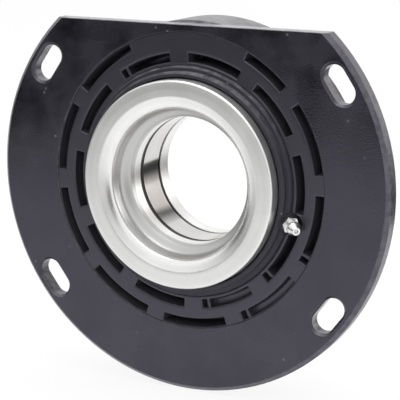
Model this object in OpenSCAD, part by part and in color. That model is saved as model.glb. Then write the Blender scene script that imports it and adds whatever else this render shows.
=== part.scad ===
// Driveshaft centre bearing: a ball bearing in a rubber cushion, held by a D-shaped bolt-on flange.
// The shaft axis is Y. The origin is on that axis, in the plane of the flange's rear seating face.
// The flange's front, with the grease nipple, looks along -Y. +Z is up, towards the flat of the flange.

/* [Flange] */
// Thickness of the flange plate
flange_t = 8; // [6:0.5:12]
// How far the flat lies below the top of the barrel
flat_drop = 1.4; // [0.6:0.1:3]
// Chamfer round the front of the flange's rim
rim_chamfer = 2; // [0.5:0.1:3]
// Radius of the circle on which the bolt slots lie
slot_circle_r = 90.2; // [88:0.1:100]
// Land between a bolt slot and the flange's rim
slot_land = 4.55; // [3.5:0.05:10]
// Width of a bolt slot
slot_w = 10.5; // [8.5:0.5:13]
// Length of a bolt slot, end to end
slot_len = 19; // [16:0.5:24]
// Chamfer round both mouths of a bolt slot
slot_chamfer = 1.1; // [0.3:0.1:1.5]
// Angle of the upper bolt slots above the horizontal
upper_slot_angle = 34; // [28:0.5:36]
// Angle of the lower bolt slots below the horizontal
lower_slot_angle = 37; // [25:0.5:55]

/* [Barrel] */
// Wall of the barrel
barrel_wall = 4.5; // [3:0.25:5.5]
// Length of the barrel behind the flange
barrel_len = 28; // [24:0.5:36]
// Fillet between barrel and flange
barrel_fillet = 3; // [1:0.5:3.5]
// Chamfer at the end of the barrel
barrel_chamfer = 0.8; // [0.3:0.1:1.2]

/* [Rubber cushion] */
// How far the rubber's face lies behind the flange's face
cushion_recess = 0.4; // [0.1:0.1:1.5]
// Length of the cushion along the shaft
cushion_len = 32; // [28:0.5:35]
// Depth of the ring-shaped hollow in the cushion's rear face
cushion_hollow = 8; // [2:0.5:11]
// Rubber left on each side of that hollow
cushion_skin = 1.5; // [1:0.1:2.5]
// Pockets in a full row
pocket_count = 10; // [8:1:12]
// Radial width of a pocket
pocket_w = 4; // [3:0.25:4.5]
// Depth of a pocket
pocket_depth = 13; // [8:0.5:15]
// Rounding along the floor of a pocket
pocket_floor_r = 1; // [0.3:0.1:1.4]
// Rubber between the carrier and the inner row of pockets
inner_land = 1.6; // [1:0.1:4]
// Rubber between the two rows of pockets
row_land = 5.3; // [3:0.1:8]
// Rubber between the outer row of pockets and the barrel
outer_land = 0.6; // [0.4:0.1:3]
// Arc of a pocket in the outer row
outer_pocket_arc = 28; // [18:0.5:29]
// Arc of a pocket in the inner row
inner_pocket_arc = 26.5; // [18:0.5:28]
// Angle of the first pocket of the inner row
inner_row_start = 4; // [0:0.5:8]
// Arc of the one short pocket, in the upper right of the outer row
short_pocket_arc = 19.5; // [12:0.5:24]
// Depth of the two shallow pockets at the lower right
shallow_depth = 4; // [2:0.5:8]
// Thickness of the thin web across some of the pockets
web_t = 1.4; // [0.8:0.1:2]
// Room between a web and the end of its pocket
web_room = 3; // [2:0.25:4]
// How far a web's top lies behind the rubber's face
web_drop = 0.2; // [0.1:0.1:1.5]

/* [Ball bearing] */
// Shaft bore
bore_d = 60; // [59:0.5:61]
// Outside diameter of the outer race
bearing_od = 95; // [94:0.5:96]
// Width of both races
bearing_w = 18; // [17:0.5:20]
// How far the bearing's front face lies behind the seating face
bearing_y = 4.6; // [4:0.1:6]
// Ball diameter
ball_d = 11.112; // [10.5:0.1:11.5]
// Number of balls
ball_count = 13; // [11:1:13]
// Chamfer on the corners of the races
race_chamfer = 1.1; // [0.5:0.1:1.5]
// Running clearance between a ball and the bottom of its groove
ball_clearance = 0.03; // [0.01:0.01:0.08]
// Groove radius as a share of the ball diameter
groove_share = 0.52; // [0.515:0.005:0.54]

/* [Cage] */
// Length of the two cage halves together
cage_len = 14; // [13:0.25:15]
// Radial width of the cage
cage_w = 4.4; // [3.6:0.2:4.8]
// Clearance between ball and cage pocket
cage_clearance = 0.3; // [0.2:0.05:0.4]
// Shank diameter of a cage rivet
rivet_d = 1.8; // [1.4:0.1:2.2]
// Head diameter of a cage rivet
rivet_head_d = 3; // [2.6:0.1:3.2]
// Head height of a cage rivet
rivet_head_h = 0.7; // [0.5:0.1:0.9]

/* [Bearing carrier] */
// Height of the step from the nose up to the carrier's outside
carrier_step = 2.4; // [1.6:0.1:4]
// Wall of the carrier round the snap ring's groove, at the least
groove_wall = 4.75; // [3:0.05:8]
// How far the nose stands in front of the flange's face
nose_len = 4; // [3:0.25:6]
// Wall of the nose round the slinger's rim
nose_wall = 2.4; // [1.8:0.1:2.8]
// Height of the shoulder between nose and rubber
nose_shoulder = 1.6; // [0.8:0.1:2]
// Chamfer at the lip of the nose
nose_chamfer = 1; // [0.4:0.1:1.2]
// Radial gap between a slinger's rim and the carrier
rim_gap = 0.8; // [0.5:0.1:1]
// Height of the shoulder that stops the outer race
race_stop = 2; // [1.7:0.1:2.4]
// Length of the front seal's seat
front_seat_len = 5.1; // [4.6:0.1:5.6]
// Length of the rear seal's seat
rear_seat_len = 4.1; // [3.9:0.1:5]
// Step that stops the front seal
seal_stop = 0.8; // [0.5:0.1:1]
// How far the carrier's rear lip stands behind the rear seal's seat
rear_lip = 3.2; // [2:0.2:4]

/* [Snap ring] */
// Thickness of the snap ring
snap_t = 3; // [2.5:0.1:3.2]
// Radial width of the snap ring's band
snap_w = 5; // [4:0.25:5.5]
// Depth of the groove in the carrier
snap_groove = 1.75; // [1:0.05:2]
// Gap between the ring's ends
snap_gap = 14; // [10:0.5:18]
// Diameter of the eye in each end
snap_eye_d = 3.5; // [2.5:0.1:4]
// Axial clearance of the ring in its groove
snap_clearance = 0.1; // [0.05:0.05:0.2]

/* [Seals] */
// Sheet thickness of a seal case
case_t = 1.2; // [0.8:0.1:1.4]
// How much shorter a seal case is than its seat
case_clearance = 0.1; // [0.05:0.05:0.3]
// Radial clearance between a lip's edge and the slinger that it runs on
lip_clearance = 0.05; // [0.02:0.01:0.1]
// Thickness of the rubber on the inner edge of a case
lip_t = 1.5; // [1.2:0.1:1.8]

/* [Slingers] */
// Outside diameter of a slinger's rim
rim_d = 96.8; // [96:0.2:108]
// How far the front slinger stands in front of the flange's face
front_reach = 10; // [9:0.25:12]
// How far the rear slinger's face lies behind the rear seal's seat
rear_reach = 6.2; // [5:0.1:9]
// Wall of the tube that the seals run on, outside the recess
tube_wall = 3; // [2.7:0.1:3.5]
// Height of the step from the bore up to the recess in a slinger's face
recess_step = 5; // [4.5:0.1:5.4]
// Length of bore in the front slinger
front_bore_len = 11.6; // [11:0.1:13]
// Length of bore in the rear slinger
rear_bore_len = 7.4; // [7:0.1:8.5]
// Wall of the spacer that bears on the inner race
spacer_wall = 4.5; // [3.5:0.1:5]
// Thickness of a slinger's disc
disc_t = 3.6; // [2.5:0.1:4]
// Thickness of a slinger's rim
rim_t = 3; // [2:0.1:3.4]
// Gap along the shaft between a slinger's rim and the seal behind it
rim_end_gap = 0.9; // [0.6:0.1:1.5]
// Rounding of the rim
rim_round = 1.2; // [0.6:0.1:1.5]
// Width of the dished ring round the recess
dish_w = 5.5; // [4.5:0.25:7]
// Depth of the dish at the recess
dish_depth = 2; // [1:0.1:3]
// Height of the small step round the dish
dish_step = 0.35; // [0.1:0.05:0.6]
// Length of the tapered lead-in of the front slinger's bore
lead_len = 4.5; // [2:0.25:5]
// Depth of that lead-in
lead_depth = 0.5; // [0.2:0.05:0.8]

/* [Grease nipple] */
// Angle of the nipple round the shaft axis
nipple_angle = -14.5; // [-16:0.5:-13]
// Tilt of the nipple away from the shaft axis
nipple_tilt = 45; // [42:0.5:48]
// Depth of the nipple's seat below the carrier's front corner
nipple_sink = 0.6; // [0.3:0.1:1]
// Hexagon across flats
hex_flats = 7; // [6:0.5:8]
// Height of the hexagon
hex_h = 3.6; // [2.5:0.1:4]
// Thread diameter
thread_d = 6; // [5:0.5:6]
// Thread length
thread_len = 5.5; // [4:0.25:6]
// Height of the nipple above its seat
nipple_h = 10.8; // [10:0.1:12]
// Head diameter
head_d = 6.5; // [6:0.1:7]
// Neck diameter
neck_d = 4.8; // [4.4:0.1:5.2]
// Height of the neck between hexagon and head
neck_h = 2.4; // [1.5:0.1:3]
// Diameter of the flat at the tip
tip_d = 3.6; // [3.2:0.1:4]
// Diameter of the hole in the tip
orifice_d = 1.8; // [1.4:0.1:2]
// Diameter of the check ball
check_d = 2.5; // [2.3:0.05:2.6]
// Wire of the spring behind the check ball
spring_wire_d = 0.4; // [0.3:0.05:0.45]
// Turns of that spring
spring_turns = 6; // [4:1:8]
// Clearance round the check ball and its spring
valve_clearance = 0.3; // [0.25:0.05:0.35]
// Diameter of the grease channel
channel_d = 2.4; // [1.6:0.1:2.6]
// Clearance round the hexagon in its pocket
hex_clearance = 1.2; // [0.8:0.1:2]

/* [Hidden] */
$fn = 96;
// Reach of a cut past the surface that it opens
over = 1;
flange_r = slot_circle_r + slot_w / 2 + slot_land;
flange_d = 2 * flange_r;
slot_angles = [upper_slot_angle, 180 - upper_slot_angle, -lower_slot_angle, 180 + lower_slot_angle];
front_y = -flange_t;
cushion_y = front_y + cushion_recess;
pocket_pitch = 360 / pocket_count;
outer_row_start = inner_row_start + pocket_pitch / 2;
// Place in the outer row of the short pocket, and of the one that is left out above it
short_pocket = 1;
missing_pocket = 2;
// Places of the two shallow pockets
shallow_outer = 8;
shallow_inner = 8;
// Places of the pockets that have a web near the end where they start, and near the other end
outer_webs_at_start = [8, 9];
inner_webs_at_start = [8, 9];
inner_webs_at_end = [3];

bore_r = bore_d / 2;
bearing_end_y = bearing_y + bearing_w;
ball_r = ball_d / 2;
outer_race_r = bearing_od / 2;
pitch_r = (bore_r + outer_race_r) / 2;
groove_r = ball_d * groove_share;
ball_plane_y = bearing_y + bearing_w / 2;
// Height of the races' shoulders above the groove bottom, as a share of the ball
shoulder_share = 0.22;
inner_shoulder_r = pitch_r - ball_r + ball_d * shoulder_share;
outer_shoulder_r = pitch_r + ball_r - ball_d * shoulder_share;
cage_pocket_r = ball_r + cage_clearance;

rim_r = rim_d / 2;
recess_r = bore_r + recess_step;
tube_r = recess_r + tube_wall;
dish_r = recess_r + dish_w;
spacer_r = bore_r + spacer_wall;
front_face_y = front_y - front_reach;
front_floor_y = bearing_y - front_bore_len;
rear_floor_y = bearing_end_y + rear_bore_len;

nose_y = front_y - nose_len;
rim_bore_r = rim_r + rim_gap;
nose_r = rim_bore_r + nose_wall;
snap_groove_r = outer_race_r + snap_groove;
// The carrier is as thick as the nose and the snap ring's groove both need
carrier_r = max(nose_r + carrier_step, snap_groove_r + groove_wall);
inner_row_r = carrier_r + inner_land + pocket_w / 2;
outer_row_r = inner_row_r + pocket_w + row_land;
barrel_bore_r = outer_row_r + pocket_w / 2 + outer_land;
barrel_r = barrel_bore_r + barrel_wall;
flat_z = barrel_r - flat_drop;

grease_bore_r = outer_race_r - race_stop;
front_seat_r = grease_bore_r + seal_stop;
front_seat_y = cushion_y;
front_seat_end_y = front_seat_y + front_seat_len;
snap_end_y = bearing_end_y + snap_t + snap_clearance;
rear_seat_end_y = snap_end_y + rear_seat_len;
rear_lip_y = rear_seat_end_y + rear_lip;
rear_face_y = rear_seat_end_y + rear_reach;
front_case_len = front_seat_len - case_clearance;
rear_case_len = rear_seat_len - case_clearance;
// Radius at which the steel of a seal case ends and its rubber begins
case_inner_r = tube_r + 2 * lip_t;

hex_r = hex_flats / 2 / cos(30);
hex_pocket_r = hex_r + hex_clearance;
// The nipple's axis runs through the carrier's front outer corner
nipple_seat_r = carrier_r - nipple_sink * sin(nipple_tilt);
nipple_seat_y = cushion_y + nipple_sink * cos(nipple_tilt);
// The boss reaches down until its side meets the carrier's outside
boss_len = thread_len + over;
channel_len = (nipple_seat_r - grease_bore_r) / sin(nipple_tilt) + channel_d / 2;
chamber_r = check_d / 2 + valve_clearance;
// Wall left between the tip's face and the chamber behind it
tip_wall = 0.6;
chamber_floor = 2;
chamber_top = nipple_h - tip_wall;
seat_drop = sqrt(pow(check_d / 2, 2) - pow(orifice_d / 2, 2));
// Gap that keeps the seated check ball just clear of its seat and its spring
valve_gap = 0.03;
check_z = chamber_top - seat_drop - valve_gap;
spring_r = check_d / 2 - spring_wire_d / 2;
spring_len = check_z - check_d / 2 - valve_gap - chamber_floor;

black_paint = [0.16, 0.16, 0.18];
black_rubber = [0.12, 0.12, 0.14];
zinc = [0.80, 0.80, 0.78];
bright_steel = [0.72, 0.73, 0.74];
cage_brass = [0.78, 0.62, 0.30];

function ball_name(i) = str("ball_", i < 9 ? "0" : "", i + 1);

// Turn children about the shaft axis, counter-clockwise as seen from the front
module turned(angle) {
    rotate([0, -angle, 0]) children();
}

// Stand a solid made along Z on the shaft axis, its Z becoming Y
module along_shaft() {
    rotate([-90, 0, 0]) children();
}

// Revolve a profile drawn as radius and Y about the shaft axis
module revolved() {
    along_shaft() rotate_extrude() children();
}

// Draw children, given as radius and Y, mirrored so that the front of the profile is at the given Y
module facing_back(y) {
    translate([0, y]) mirror([0, 1]) children();
}

module cylinder_y(r, y0, y1) {
    translate([0, y0, 0]) along_shaft() cylinder(r = r, h = y1 - y0);
}

// Slot outline, long along Y, centred on the origin
module slot_shape(w, len) {
    square([w, len - w], center = true);
    for (side = [-1, 1]) translate([0, side * (len - w) / 2]) circle(d = w);
}

module flange_outline() {
    difference() {
        circle(r = flange_r);
        translate([-flange_r, flat_z]) square([2 * flange_r, flange_r]);
        for (angle = slot_angles) rotate(angle) translate([slot_circle_r, 0]) slot_shape(slot_w, slot_len);
    }
}

// Chamfer of one slot's mouth at Z 0, open upwards, long along Y
module slot_mouth() {
    straight = slot_len - slot_w;
    // Half widths at the chamfer's bottom and past the face
    low = slot_w / 2;
    high = low + slot_chamfer + over;
    for (side = [-1, 1]) translate([0, side * straight / 2, -slot_chamfer])
        cylinder(r1 = low, r2 = high, h = slot_chamfer + over);
    rotate([90, 0, 0]) linear_extrude(straight, center = true)
        polygon([[-low, -slot_chamfer], [low, -slot_chamfer], [high, over], [-high, over]]);
}

// Children made with Z out of the plate are set at one slot on the front face, or on the rear one
module at_slot(angle, rear) {
    turned(angle) translate([slot_circle_r, rear ? 0 : front_y, 0]) rotate([rear ? -90 : 90, 0, 0]) children();
}

// What the rim's chamfer takes away, as a profile of radius and Y
module rim_waste() {
    outside = flange_r + over;
    polygon([
        [flange_r - rim_chamfer - over, front_y - over],
        [outside, front_y - over],
        [outside, front_y + rim_chamfer + over],
    ]);
}

// Fillet behind the flange, as a profile of radius and Y
module fillet_shape() {
    translate([barrel_r - over, 0]) difference() {
        square([barrel_fillet + over, barrel_fillet]);
        translate([barrel_fillet + over, barrel_fillet]) circle(r = barrel_fillet);
    }
}

// One casting: the plate with its flat and slots, and the barrel behind it
module flange_housing() {
    color(black_paint) difference() {
        union() {
            rotate([90, 0, 0]) linear_extrude(flange_t) flange_outline();
            revolved() polygon([
                [barrel_bore_r, 0],
                [barrel_r, 0],
                [barrel_r, barrel_len - barrel_chamfer],
                [barrel_r - barrel_chamfer, barrel_len],
                [barrel_bore_r, barrel_len],
            ]);
            difference() {
                revolved() fillet_shape();
                translate([-flange_r, -over, flat_z]) cube([flange_d, barrel_fillet + 2 * over, flange_r]);
            }
        }
        cylinder_y(barrel_bore_r, front_y - over, barrel_len + over);
        for (angle = slot_angles, rear = [false, true]) at_slot(angle, rear) slot_mouth();
        revolved() rim_waste();
    }
}

function holds(list, value) = len([for (v = list) if (v == value) v]) > 0;

// Children, drawn as radius and Y, swept round the shaft axis over an arc about the given angle
module swept(angle, arc) {
    turned(angle) along_shaft() rotate([0, 0, -arc / 2]) rotate_extrude(angle = arc) children();
}

// One arc-shaped pocket with a rounded floor, cut back from the rubber's face.
// A web side of -1 or 1 leaves a thin web near the pocket's start or end.
module pocket(row_r, angle, arc, depth, web_side) {
    // Angle from the pocket's middle to its web
    web_turn = arc / 2 - (web_room + web_t / 2) / row_r * 180 / PI;
    difference() {
        swept(angle, arc) translate([row_r - pocket_w / 2, cushion_y]) {
            translate([0, -over]) square([pocket_w, depth - pocket_floor_r + over]);
            translate([pocket_floor_r, 0]) square([pocket_w - 2 * pocket_floor_r, depth]);
            for (x = [pocket_floor_r, pocket_w - pocket_floor_r])
                translate([x, depth - pocket_floor_r]) circle(r = pocket_floor_r);
        }
        if (web_side != 0) swept(angle + web_side * web_turn, web_t / row_r * 180 / PI)
            translate([row_r - pocket_w / 2 - over, cushion_y + web_drop])
                square([pocket_w + 2 * over, depth + over]);
    }
}

module outer_row() {
    // The short pocket starts where a full one would
    short_turn = (short_pocket_arc - outer_pocket_arc) / 2;
    for (i = [0 : pocket_count - 1]) if (i != missing_pocket) {
        angle = outer_row_start + i * pocket_pitch;
        depth = i == shallow_outer ? shallow_depth : pocket_depth;
        if (i == short_pocket) pocket(outer_row_r, angle + short_turn, short_pocket_arc, depth, 0);
        else pocket(outer_row_r, angle, outer_pocket_arc, depth, holds(outer_webs_at_start, i) ? -1 : 0);
    }
}

module inner_row() {
    for (i = [0 : pocket_count - 1]) {
        depth = i == shallow_inner ? shallow_depth + pocket_floor_r : pocket_depth;
        web_side = holds(inner_webs_at_start, i) ? -1 : holds(inner_webs_at_end, i) ? 1 : 0;
        pocket(inner_row_r, inner_row_start + i * pocket_pitch, inner_pocket_arc, depth, web_side);
    }
}

// The moulded cushion, bonded to the barrel outside and to the carrier inside
module rubber_cushion() {
    cushion_end_y = cushion_y + cushion_len;
    hollow_r = (carrier_r + barrel_bore_r) / 2;
    hollow_w = barrel_bore_r - carrier_r - 2 * cushion_skin;
    color(black_rubber) difference() {
        revolved() difference() {
            translate([carrier_r, cushion_y]) square([barrel_bore_r - carrier_r, cushion_len]);
            polygon([
                [hollow_r - hollow_w / 2, cushion_end_y + over],
                [hollow_r - hollow_w / 2, cushion_end_y],
                [hollow_r - hollow_w / 4, cushion_end_y - cushion_hollow],
                [hollow_r + hollow_w / 4, cushion_end_y - cushion_hollow],
                [hollow_r + hollow_w / 2, cushion_end_y],
                [hollow_r + hollow_w / 2, cushion_end_y + over],
            ]);
        }
        outer_row();
        inner_row();
        at_nipple() translate([0, 0, -boss_len]) cylinder(r = hex_pocket_r, h = boss_len + nipple_h);
    }
}

// Profile of the carrier as radius and Y
module carrier_shape() {
    rear_corner = nose_shoulder;
    polygon([
        [rim_bore_r, nose_y],
        [nose_r - nose_chamfer, nose_y],
        [nose_r, nose_y + nose_chamfer],
        [nose_r, cushion_y - nose_shoulder],
        [carrier_r - nose_shoulder / 2, cushion_y - nose_shoulder],
        [carrier_r, cushion_y],
        [carrier_r, rear_seat_end_y],
        [nose_r, rear_seat_end_y + rear_corner],
        [nose_r, rear_lip_y],
        [rim_bore_r, rear_lip_y],
        [rim_bore_r, rear_seat_end_y],
        [outer_race_r, rear_seat_end_y],
        [outer_race_r, snap_end_y],
        [snap_groove_r, snap_end_y],
        [snap_groove_r, bearing_end_y],
        [outer_race_r, bearing_end_y],
        [outer_race_r, bearing_y],
        [grease_bore_r, bearing_y],
        [grease_bore_r, front_seat_end_y],
        [front_seat_r, front_seat_end_y],
        [front_seat_r, front_seat_y],
        [rim_bore_r, front_seat_y],
    ]);
}

// Turned steel ring that holds the bearing, the seals and the nipple, with a boss under the nipple
module bearing_carrier() {
    color(black_paint) difference() {
        union() {
            revolved() carrier_shape();
            difference() {
                at_nipple() translate([0, 0, -boss_len]) cylinder(r = hex_pocket_r, h = boss_len);
                cylinder_y((nose_r + rim_bore_r) / 2, nose_y - over, rear_lip_y);
            }
        }
        at_nipple() {
            cylinder(r = hex_pocket_r, h = nipple_h);
            translate([0, 0, -thread_len]) cylinder(d = thread_d, h = thread_len + over);
            translate([0, 0, -channel_len]) cylinder(d = channel_d, h = channel_len);
        }
    }
}

// Internal snap ring behind the outer race, open at the bottom between two lugs with an eye each
module snap_ring() {
    ring_r = snap_groove_r - snap_clearance;
    band_r = ring_r - snap_w;
    eye_r = band_r - snap_eye_d / 4;
    lug_r = eye_r - snap_eye_d;
    eye_turn = asin((snap_gap / 2 + snap_eye_d) / eye_r);
    lug_turn = asin((snap_gap / 2 + 2 * snap_eye_d) / eye_r);
    band_arc = 360 - 2 * lug_turn;
    color(bright_steel) difference() {
        cylinder_y(ring_r, bearing_end_y, bearing_end_y + snap_t);
        cylinder_y(lug_r, bearing_end_y - over, bearing_end_y + snap_t + over);
        // The band between the lugs is narrower than they are
        turned(90) along_shaft() rotate([0, 0, -band_arc / 2]) rotate_extrude(angle = band_arc)
            translate([lug_r - over, bearing_end_y - over])
                square([band_r - lug_r + over, snap_t + 2 * over]);
        translate([-snap_gap / 2, bearing_end_y - over, -ring_r - over])
            cube([snap_gap, snap_t + 2 * over, ring_r]);
        for (side = [-1, 1]) turned(-90 + side * eye_turn) translate([eye_r, 0, 0])
            cylinder_y(snap_eye_d / 2, bearing_end_y - over, bearing_end_y + snap_t + over);
    }
}

// A race: a ring with chamfered corners and a groove for the balls
module race(r0, r1, groove_centre_r) {
    revolved() difference() {
        polygon([
            [r0 + race_chamfer, bearing_y],
            [r1 - race_chamfer, bearing_y],
            [r1, bearing_y + race_chamfer],
            [r1, bearing_end_y - race_chamfer],
            [r1 - race_chamfer, bearing_end_y],
            [r0 + race_chamfer, bearing_end_y],
            [r0, bearing_end_y - race_chamfer],
            [r0, bearing_y + race_chamfer],
        ]);
        translate([groove_centre_r, ball_plane_y]) circle(r = groove_r);
    }
}

module outer_race() {
    color(bright_steel) race(outer_shoulder_r, outer_race_r, pitch_r + ball_r + ball_clearance - groove_r);
}

module inner_race() {
    color(bright_steel) race(bore_r, inner_shoulder_r, pitch_r - ball_r - ball_clearance + groove_r);
}

module at_ball(i) {
    turned(90 + i * 360 / ball_count) translate([pitch_r, ball_plane_y, 0]) children();
}

module ball(i) {
    color(bright_steel) at_ball(i) sphere(r = ball_r);
}

module at_rivet(i) {
    turned(90 + (i + 0.5) * 360 / ball_count) translate([pitch_r, ball_plane_y, 0]) children();
}

// Machined half of the cage behind the balls' plane, with half of each ball pocket
module cage_half() {
    difference() {
        cylinder_y(pitch_r + cage_w / 2, ball_plane_y, ball_plane_y + cage_len / 2);
        cylinder_y(pitch_r - cage_w / 2, ball_plane_y - over, ball_plane_y + cage_len / 2 + over);
        for (i = [0 : ball_count - 1]) {
            at_ball(i) sphere(r = cage_pocket_r);
            at_rivet(i) cylinder_y(rivet_d / 2, -over, cage_len / 2 + over);
        }
    }
}

module cage_rear() {
    color(cage_brass) cage_half();
}

module cage_front() {
    color(cage_brass) translate([0, 2 * ball_plane_y, 0]) mirror([0, 1, 0]) cage_half();
}

module cage_rivets() {
    color(bright_steel) for (i = [0 : ball_count - 1]) at_rivet(i) revolved() polygon([
        [0, -cage_len / 2 - rivet_head_h],
        [rivet_head_d / 2, -cage_len / 2 - rivet_head_h],
        [rivet_head_d / 2, -cage_len / 2],
        [rivet_d / 2, -cage_len / 2],
        [rivet_d / 2, cage_len / 2],
        [rivet_head_d / 2, cage_len / 2],
        [rivet_head_d / 2, cage_len / 2 + rivet_head_h],
        [0, cage_len / 2 + rivet_head_h],
    ]);
}

// Pressed case: a seat wall with an inner leg at its far end, drawn with the seat's front at Y 0
module case_shape(seat_r, len) {
    difference() {
        translate([case_inner_r, 0]) square([seat_r - case_inner_r, len]);
        translate([case_inner_r - over, -over])
            square([seat_r - case_t - case_inner_r + over, len - case_t + over]);
    }
}

// Rubber moulded on the inner leg, with a pointed lip that runs on the slinger's tube
module lip_shape(seat_r, len) {
    edge_r = tube_r + lip_clearance;
    root_y = len - case_t;
    polygon([
        [case_inner_r, len],
        [case_inner_r, root_y],
        [seat_r - case_t, root_y],
        [seat_r - case_t, root_y - lip_t / 2],
        [case_inner_r + lip_t / 2, root_y - lip_t / 2],
        [tube_r + lip_t, root_y - lip_t],
        [edge_r, root_y - lip_t / 2],
        [tube_r + lip_t, len],
    ]);
}

module front_seal_case() {
    color(bright_steel) revolved() translate([0, front_seat_end_y - front_case_len])
        case_shape(front_seat_r, front_case_len);
}

module front_seal_lip() {
    color(black_rubber) revolved() translate([0, front_seat_end_y - front_case_len])
        lip_shape(front_seat_r, front_case_len);
}

module rear_seal_case() {
    color(bright_steel) revolved() facing_back(snap_end_y + rear_case_len)
        case_shape(outer_race_r, rear_case_len);
}

module rear_seal_lip() {
    color(black_rubber) revolved() facing_back(snap_end_y + rear_case_len)
        lip_shape(outer_race_r, rear_case_len);
}

// What a rounded corner loses: the corner points to +X and -Y, and its round ends at the given point
module corner_round(r, y, round) {
    difference() {
        translate([r, y - round - over]) square([round + over, round + over]);
        translate([r, y]) circle(r = round);
    }
}

// Profile of a slinger with its face at Y 0 and its spacer behind it
module slinger_shape(rim_depth, floor_y, tube_y, spacer_y, lead) {
    mouth_y = dish_depth + rim_round;
    difference() {
        polygon([
            [bore_r + (lead > 0 ? lead_depth : 0), floor_y],
            [bore_r, floor_y + lead],
            [bore_r, spacer_y],
            [spacer_r, spacer_y],
            [spacer_r, tube_y],
            [tube_r, tube_y],
            [tube_r, disc_t],
            [rim_r - rim_t, disc_t],
            [rim_r - rim_t, rim_depth],
            [rim_r, rim_depth],
            [rim_r, 0],
            [dish_r, 0],
            [dish_r - dish_step, dish_step],
            [recess_r + rim_round, dish_depth],
            [recess_r, dish_depth],
            [recess_r, floor_y],
        ]);
        corner_round(rim_r - rim_round, rim_round, rim_round);
        translate([recess_r + rim_round, 0]) mirror([1, 0]) corner_round(0, mouth_y, rim_round);
    }
}

module front_slinger() {
    tube_end_y = front_seat_end_y + lip_t / 2;
    rim_depth = front_seat_y - rim_end_gap - front_face_y;
    color(zinc) revolved() translate([0, front_face_y]) slinger_shape(rim_depth,
        front_floor_y - front_face_y, tube_end_y - front_face_y, bearing_y - front_face_y, lead_len);
}

module rear_slinger() {
    tube_end_y = snap_end_y - lip_t / 2;
    rim_depth = rear_face_y - rear_seat_end_y - rim_end_gap;
    color(zinc) revolved() facing_back(rear_face_y) slinger_shape(rim_depth,
        rear_face_y - rear_floor_y, rear_face_y - tube_end_y, rear_face_y - bearing_end_y, 0);
}

// Children made along Z, with the seat at the origin, are set on the nipple's axis
module at_nipple() {
    turned(nipple_angle) translate([nipple_seat_r, nipple_seat_y, 0])
        rotate([0, 0, nipple_tilt]) rotate([90, 0, 0]) children();
}

module nipple_body() {
    head_y = hex_h + neck_h;
    flare = (head_d - neck_d) / 2;
    color(zinc) at_nipple() difference() {
        union() {
            cylinder(r = hex_r, h = hex_h, $fn = 6);
            translate([0, 0, -thread_len]) cylinder(d = thread_d, h = thread_len);
            rotate_extrude() polygon([
                [0, hex_h - over],
                [neck_d / 2, hex_h - over],
                [neck_d / 2, head_y],
                [head_d / 2, head_y + flare],
                [head_d / 2, head_y + 2 * flare],
                [tip_d / 2, nipple_h],
                [0, nipple_h],
            ]);
        }
        translate([0, 0, chamber_floor]) cylinder(r = chamber_r, h = chamber_top - chamber_floor);
        translate([0, 0, chamber_top - over]) cylinder(d = orifice_d, h = tip_wall + 2 * over);
        translate([0, 0, -thread_len - over])
            cylinder(d = orifice_d, h = thread_len + chamber_floor + 2 * over);
    }
}

module check_ball() {
    color(bright_steel) at_nipple() translate([0, 0, check_z]) sphere(d = check_d);
}

// Level cut through the wire of the spring: a long lens bent round the spring's axis
module spring_cut() {
    steps = 12;
    rise = spring_len / spring_turns;
    half_arc = 180 * spring_wire_d / rise;
    function half_w(t) = spring_wire_d / 2 * sqrt(1 - t * t);
    function at(t, r) = [r * cos(half_arc * t), r * sin(half_arc * t)];
    polygon(concat(
        [for (i = [0 : steps]) let (t = 2 * i / steps - 1) at(t, spring_r + half_w(t))],
        [for (i = [1 : steps - 1]) let (t = 1 - 2 * i / steps) at(t, spring_r - half_w(t))]
    ));
}

module nipple_spring() {
    slices_per_turn = 18;
    color(bright_steel) at_nipple() translate([0, 0, chamber_floor])
        linear_extrude(spring_len, twist = -360 * spring_turns,
            slices = spring_turns * slices_per_turn, $fn = 12) spring_cut();
}

flange_housing();
rubber_cushion();
bearing_carrier();
snap_ring();
outer_race();
inner_race();
cage_front();
cage_rear();
cage_rivets();
front_seal_case();
front_seal_lip();
rear_seal_case();
rear_seal_lip();
front_slinger();
rear_slinger();
nipple_body();
nipple_spring();
check_ball();
for (i = [0 : ball_count - 1]) ball(i);
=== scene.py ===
"""Driveshaft centre bearing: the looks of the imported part, in metres, in the part's own frame.

The shaft axis is Y, the front with the grease nipple looks along -Y, and +Z is up.
"""

import math

import bmesh
import bpy
from mathutils import Matrix, Vector


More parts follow.
